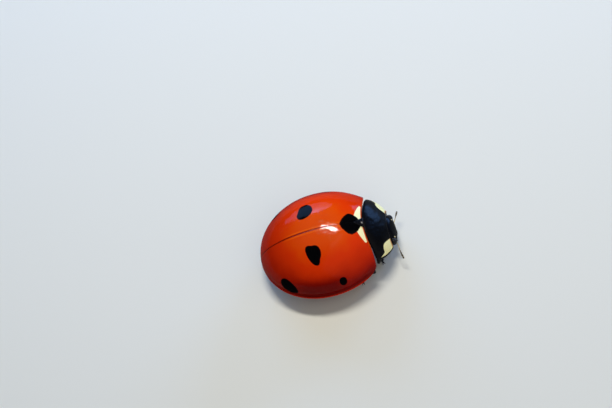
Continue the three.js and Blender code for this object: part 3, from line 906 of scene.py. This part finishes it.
def pronotum_line(along, across, sunk=0.0):
    edge_y = mix(PRONOTUM_REAR, PRONOTUM_FRONT, along**1.9) - sunk
    for (depth, reach), away in ((REAR_ROUNDING, along), (FRONT_ROUNDING, 1 - along)):
        edge_y -= depth * np.exp(-away / reach)
    edge_z = mix(EDGE_REAR, EDGE_FRONT, along)
    ridge_z = mix(RIDGE_REAR, RIDGE_FRONT, along**1.35) - sunk
    y = across * edge_y
    arch = (1 - np.abs(across) ** 2.2) ** (1 / 1.9)
    rear_x = front_edge(y) + PRONOTUM_GAP
    front_x = mix(PRONOTUM_FRONT_X, PRONOTUM_CORNER_X, across**2)
    return np.stack([mix(rear_x, front_x, along), y, mix(edge_z, ridge_z, arch)], -1)


def pronotum(material):
    across = -np.cos(np.linspace(0, pi, 97))
    along = 0.5 - 0.5 * np.cos(np.linspace(0, pi, 44))
    grid = np.array([pronotum_line(a, across) for a in along])
    wide = np.abs(across)[None, :]
    grid[..., 2] += 0.03 * (bump_at(wide, 1.0, 0.05) - bump_at(wide, 0.93, 0.04))
    corner = ((1 - along[:, None]) / PATCH_LENGTH) ** 3 + ((1 - wide) / PATCH_WIDTH) ** 3
    corner = corner - 3.4 * (np.maximum(wide - 0.92, 0) / 0.07) ** 2 + 9 * (wide > 0.988)
    rim = np.broadcast_to(along[:, None], corner.shape)
    body = Body().shell(grid, PLATE, 6, front_corner=corner, front_rim=rim)
    body.piece("pronotum_skin", material, "black_shell", "pronotum")


def forebody(material):
    across = -np.cos(np.linspace(0, pi, 41))
    sag = np.sin(np.linspace(0, pi, len(across))) ** 0.5
    rings = []
    for along in np.linspace(0, 1, 24):
        top = pronotum_line(along, across, PLATE + 0.02)
        belly = top.copy()
        belly[:, 2] = mix(top[:, 2], FOREBODY_DEPTH, sag)
        rings.append(np.concatenate([top, belly[1:-1][::-1]]))
    Body().loft(rings).piece("forebody_skin", material, "black_body", "forebody")


# ---- Thorax and abdomen ----

# The belly plates' edges, from front to rear, in each stretch of the trunk.
PLATE_EDGES = {
    "thorax": (-0.04, -0.75, -1.5),
    "abdomen": (-1.53, -2.35, -3.0, -3.6, -4.2, -4.75, -5.2, -5.75),
}
TRUNK = {"thorax": (-0.04, -1.5, 60), "abdomen": (-1.53, -5.7, 150)}  # front, rear, rings
PLATE_STEP = 0.035  # how far each belly plate's rear edge stands out from the next plate
SIDE_FOLD, MIDDLE_FOLD = 0.03, 0.04  # depths of the belly's lengthways folds
BELLY_DEPTH = 0.34
BELLY_INSET, BACK_INSET = 0.35, 0.3  # how far the trunk keeps from the wing cases
SHELL_GAP = 0.05


def belly_relief(x, y, width, edges):
    """How far the belly stands out: each plate is proudest at its rear edge."""
    edges = np.array(edges[::-1])
    i = np.clip(np.searchsorted(edges, x), 1, len(edges) - 1)
    share = (edges[i] - x) / (edges[i] - edges[i - 1])
    relief = PLATE_STEP * (share - 0.5) - SIDE_FOLD * bump_at(np.abs(y), width * 0.84, 0.03)
    return relief - MIDDLE_FOLD * bump_at(y, 0.0, 0.035) * (x > -1.5)


def trunk(name):
    """A stretch of the trunk: its belly shows, and wing cases cover its back."""
    inset = SHELL + SHELL_GAP
    scale = (HALF_WIDTH - inset) / HALF_WIDTH
    turn = np.linspace(0, 2 * pi, 120, endpoint=False)
    below = np.sin(turn) < 0
    rings = []
    for x in np.linspace(*TRUNK[name]):
        squeezed = WIDEST_X + (x - WIDEST_X) / scale if x < WIDEST_X else x
        width = max(half_width(squeezed) - inset, 0.05) - BELLY_INSET
        top = max(ridge_height(squeezed) - inset - BACK_INSET, 0.02)
        fullness = min(1, max(0.02, (x + SEAM_LENGTH) / 3)) ** 0.7
        y = width * np.cos(turn)
        relief = belly_relief(x, y, width, PLATE_EDGES[name])
        relief *= fullness * np.abs(np.sin(turn)) ** 0.5
        z = np.where(below, BELLY_DEPTH * fullness * np.sin(turn) - relief, top * np.sin(turn))
        rings.append(np.stack([np.full(len(turn), x), y, z], -1))
    return Body().loft(rings, furry=np.where(below, 1.0, 0.0))


# ---- Head, eyes and feelers ----

HEAD_TURN_Y = -0.04
HEAD_HALF_WIDTH = 0.77
HEAD_MIDDLE = np.array([1.16, 0.04])  # the point of its profile that the sides close in on
# The head from the side, as (x, z), from the back of its top over the brow and round the mouth.
HEAD_PROFILE = (
    ((0.98, 0.60), (1.14, 0.58), (1.31, 0.43), (1.43, 0.20), (1.48, -0.06))
    + ((1.47, -0.25), (1.40, -0.37), (1.22, -0.43), (0.98, -0.42), (0.90, 0.02))
)
UPPER_LIP = ((1.36, -0.36, -0.38), (1.42, HEAD_TURN_Y, -0.37), (1.36, 0.30, -0.38))
EYE_RADII = (0.19, 0.19, 0.25)
EYE_MIDDLE = (1.24, 0.68, 0.05)


def head(material):
    profile = closed_curve(HEAD_PROFILE, 96)
    rings = []
    for turn in np.linspace(-0.985, 0.985, 72) * pi / 2:
        size = cos(turn) ** 0.62
        x, z = (HEAD_MIDDLE + (profile - HEAD_MIDDLE) * (size, size**0.9)).T
        side_y = HEAD_HALF_WIDTH * sin(turn)
        y = side_y + HEAD_TURN_Y * np.maximum(0, x - 1.1) / 0.38
        brow = bump_at(x, 1.36, 0.1) * np.maximum(z, 0) * bump_at(abs(side_y), 0.42, 0.16)
        rings.append(np.stack([x, y, z + 0.10 * brow], -1))
    body = Body().loft(rings)
    arch = 0.6 + 0.4 * np.sin(np.linspace(0, pi, 15))
    body.limb(smooth_path(UPPER_LIP, 15), 0.07 * arch, 0.05 * arch)
    body.piece("head_skin", material, "black_shell", "head")


def eye(name, recipe, material):
    x, y, z = EYE_MIDDLE
    recipe.piece(
        f"eye_skin_{name}",
        bpy.data.meshes.new(f"eye_{name}"),
        "eye",
        (f"eye_{name}",),
        Middle=place((x, SIDES[name] * y + HEAD_TURN_Y, z)).tolist(),
        Radii=[r * MM for r in EYE_RADII],
        Fineness=5,
        Rise=0.022,
        Top=0.55,
        Finish=material,
    )


FEELERS = {
    "left": ((1.30, 0.36, -0.28), (1.45, 0.52, -0.20), (1.58, 0.74, -0.13), (1.69, 1.04, -0.18)),
    "right": ((1.26, -0.44, -0.28), (1.40, -0.85, -0.20), (1.47, -1.27, -0.13), (1.57, -1.72, -0.16)),
}
FEELER_JOINTS = (0.045, 0.032, 0.023, 0.020, 0.019, 0.019, 0.021, 0.025, 0.040, 0.050, 0.043)
FEELER_STEPS = 10  # points along each joint of a feeler


def feeler(name, material, bristles):
    path = smooth_path(FEELERS[name], len(FEELER_JOINTS) * FEELER_STEPS + 1)
    body = Body()
    for joint, radius in enumerate(FEELER_JOINTS):
        part = path[joint * FEELER_STEPS + 1 : (joint + 1) * FEELER_STEPS]
        swell = 0.72 + 0.28 * np.sin(np.linspace(0.1, pi * 0.8, len(part)))
        shade = joint / (len(FEELER_JOINTS) - 1)
        body.limb(part, radius * swell, rounding=3, columns=14, shade=shade, furry=0.3 + 0.7 * shade)
    body.piece(f"feeler_skin_{name}", material, "feeler", f"feeler_{name}")
    coat(body, f"feeler_bristles_{name}", "feeler", FEELER_COAT, bristles)


# The left side's mouthparts, and the lower lip. Each joint of the palp is some of its points,
# with the half widths and half heights at its ends, and its shade.
MANDIBLE = ((1.22, 0.24, -0.40), (1.36, 0.20, -0.45), (1.44, 0.05, -0.46))
PALP = ((1.06, 0.30, -0.46), (1.16, 0.42, -0.52), (1.24, 0.44, -0.60), (1.31, 0.34, -0.66))
PALP_JOINTS = (
    (slice(0, 9), (0.035, 0.05), (0.035, 0.05), 0.6),
    (slice(10, 17), (0.035, 0.05), (0.035, 0.05), 0.7),
    (slice(18, 31), (0.035, 0.115), (0.03, 0.04), 1.0),
)
SMALL_PALP = ((1.10, 0.10, -0.44), (1.20, 0.13, -0.52), (1.28, 0.10, -0.56))
LOWER_LIP = ((1.02, -0.16, -0.40), (1.08, 0, -0.42), (1.02, 0.16, -0.40))


def mouthparts(material):
    """The mandibles, the jointed palps with axe-shaped tips, two small palps and the lower lip."""
    body = Body()
    for side in SIDES.values():
        mandible, palp, small = (
            smooth_path(np.multiply(points, (1, side, 1)), count)
            for points, count in ((MANDIBLE, 12), (PALP, 31), (SMALL_PALP, 9))
        )
        body.limb(mandible, (0.09, 0.03), (0.06, 0.03), shade=0.4)
        for joint, widths, heights, shade in PALP_JOINTS:
            body.limb(palp[joint], widths, heights, shade=shade)
        body.limb(small, (0.025, 0.035), shade=0.5)
    body.limb(smooth_path(LOWER_LIP, 9), (0.10, 0.10), (0.06, 0.06))
    body.piece("mouthparts_skin", material, "feeler", "mouthparts")


# ---- Legs ----

# Where the hip, knee, ankle and toe are in plan, with y outwards, and how high off the ground.
LEGS = {
    "left": {
        "front": ((0.5, 0.42), (0.86, 1.40), (0.36, 1.46), (0.46, 1.88)),
        "middle": ((-0.7, 0.6), (-0.15, 1.98), (-0.82, 2.14), (-1.0, 2.6)),
        "hind": ((-1.8, 0.66), (-2.36, 2.08), (-3.24, 2.14), (-3.6, 2.52)),
    },
    "right": {
        "front": ((0.5, 0.42), (0.18, 1.52), (0.24, 0.93), (0.36, 1.35)),
        "middle": ((-0.7, 0.6), (-0.13, 2.02), (-0.78, 1.74), (-0.89, 2.22)),
        "hind": ((-1.8, 0.66), (-2.3, 1.95), (-3.1, 1.84), (-3.32, 2.32)),
    },
}
JOINT_HEIGHTS = (0.60, 0.56, 0.16, 0.075)
COXA, TROCHANTER, FEMUR = (0.0, 0.12), (0.13, 0.22), (0.2, 1.0)  # stretches from hip to knee
SPUR_START, SPUR_LENGTH = (0.06, 0.05), 0.12  # its place is beside and below the ankle
FOOT_JOINTS = (1, 20, 39, 60)  # the ends of the foot's joints, of 60 steps from ankle to toe
SOLE_HEIGHTS = (0.085, 0.062, 0.07)  # of the foot's line at each joint's end
# Points of a claw from the toe, and of its tooth from its root: ahead, aside, up.
CLAW = ((0, 0.014, 0), (0.06, 0.045, 0.012), (0.105, 0.062, -0.02), (0.115, 0.066, -0.055))
CLAW_TOOTH = (0.03, 0, -0.045)


def leg(side_name, place_name, material, claw_material, bristles):
    side = SIDES[side_name]
    hip, knee, ankle, toe = (
        np.array([x, side * y, GROUND + height])
        for (x, y), height in zip(LEGS[side_name][place_name], JOINT_HEIGHTS)
    )
    body = Body()

    share = np.linspace(*COXA, 7)
    body.limb(straight(hip, knee, share), 0.17 + 0.04 * np.sin(share / COXA[1] * pi), furry=0.3)
    body.limb(straight(hip, knee, np.linspace(*TROCHANTER, 7)), (0.12, 0.10), furry=0.3)
    share = np.linspace(0, 1, 25)
    thick = 0.085 + 0.105 * np.sin(share**0.8 * pi)
    thigh = straight(hip, knee, mix(*FEMUR, share))
    body.limb(thigh, thick, thick * 0.74, 20, groove=0.35, furry=0.4)

    share = np.linspace(0.01, 1, 21)
    shin = straight(knee, ankle, share) + np.outer(0.03 * np.sin(share * pi), (0, side, 1))
    body.limb(shin, 0.062 + 0.042 * share**1.4, 0.058 + 0.026 * share, groove=0.2, furry=0.9)
    onward = unit(toe - ankle)
    beside = np.array([-onward[1], onward[0], 0])
    for way in (-1, 1):
        start = ankle + beside * way * SPUR_START[0] - (0, 0, SPUR_START[1])
        end = start + (onward - (0, 0, 0.3)) * SPUR_LENGTH
        body.limb(straight(start, end, np.linspace(0, 1, 5)), (0.018, 0.005), columns=8, rounding=3)

    sole = straight(ankle, toe, (0, 0.33, 0.66, 1))
    sole[1:, 2] = GROUND + np.array(SOLE_HEIGHTS)
    foot = smooth_path(sole, FOOT_JOINTS[-1] + 1)
    first, second, last = (foot[a : b + 1] for a, b in zip(FOOT_JOINTS, FOOT_JOINTS[1:]))
    body.limb(first, (0.045, 0.092), (0.05, 0.052), furry=1)
    for way in (-1, 1):
        lobe = second + np.outer(taper((0.012, 0.055), len(second)), beside * way)
        body.limb(lobe, (0.032, 0.05), (0.045, 0.05), furry=1)
    arch = np.outer(0.035 * np.sin(np.linspace(0, pi, len(last))), UP)
    body.limb(last + arch, (0.030, 0.050), furry=0.6)

    name = f"{place_name}_{side_name}"
    nodes = [f"{part}_{name}" for part in ("femur", "tibia", "tarsus")]
    body.piece(f"leg_{name}", material, "black_body", *nodes)
    coat(body, f"leg_bristles_{name}", "black_body", LEG_COAT, bristles)
    claws(name, sole[-1], onward * (1, 1, 0), beside, claw_material)


def claws(name, toe, ahead, beside, material):
    """The two claws of a foot, each with a tooth. They lie level."""
    body = Body()
    for way in (-1, 1):
        axes = np.array([ahead, beside * way, UP])
        hook = smooth_path(toe + CLAW @ axes, 16)
        body.limb(hook, (0.024, 0.005), columns=10, rounding=3)
        tooth = straight(hook[4], hook[4] + CLAW_TOOTH @ axes, np.linspace(0, 1, 4))
        body.limb(tooth, (0.014, 0.005), columns=8, rounding=3)
    body.piece(f"claws_{name}", material, "black_body")


# Bristles: how many to a square millimetre, length, half width, share of lean, seed.
FEELER_COAT = (600, 0.03, 0.0022, 0.45, 5)
LEG_COAT = (230, 0.075, 0.0035, 0.62, 11)
BELLY_COAT = (110, 0.08, 0.0035, 0.75, 17)


def coat(body, name, slot, kind, bristles):
    """Bristles over a body's lofted surfaces."""
    recipe, finish = bristles
    per_mm2, length, width, lean, seed = kind
    recipe.piece(
        name,
        body.coat_ground(name),
        slot,
        Density=per_mm2 / MM**2,
        Length=length * MM,
        Width=width * MM,
        Lean=lean,
        Seed=seed,
        Finish=finish,
    )


# ---- Assembly ----


def make_ladybird():
    red = red_shell_material()
    belly_black = belly_material()
    leg_black = plain_black_material("black_leg", (0.012, 0.010, 0.008), 0.35, 26.0, 0.004)
    claw_brown = brown_material("claw_brown", (0.05, 0.022, 0.008), (0.015, 0.008, 0.004), 0.3)
    eye_black = plain_black_material("black_eye", (0.006, 0.006, 0.007), 0.18, 45.0, 0.0)
    scutellum_black = plain_black_material(
        "black_scutellum", (0.003, 0.003, 0.004), 0.3, 16.0, coat=0.3, specular=0.0
    )
    brown = brown_material("brown_feeler", (0.72, 0.52, 0.16), (0.085, 0.055, 0.014))
    bristles = (bristle_recipe(), bristle_material())
    eyes = faceted_eye_recipe()
    for name in SIDES:
        wing_case(name, red)
        eye(name, eyes, eye_black)
        feeler(name, brown, bristles)
        for place_name in LEGS[name]:
            leg(name, place_name, leg_black, claw_brown, bristles)
    scutellum(scutellum_black)
    pronotum(black_shell_material())
    forebody(belly_black)
    for name in TRUNK:
        body = trunk(name)
        body.piece(f"{name}_skin", belly_black, "black_body", name)
        coat(body, f"{name}_bristles", "black_body", BELLY_COAT, bristles)
    head(head_material())
    mouthparts(brown)


make_camera()
make_floor()
make_lights()
make_ladybird()
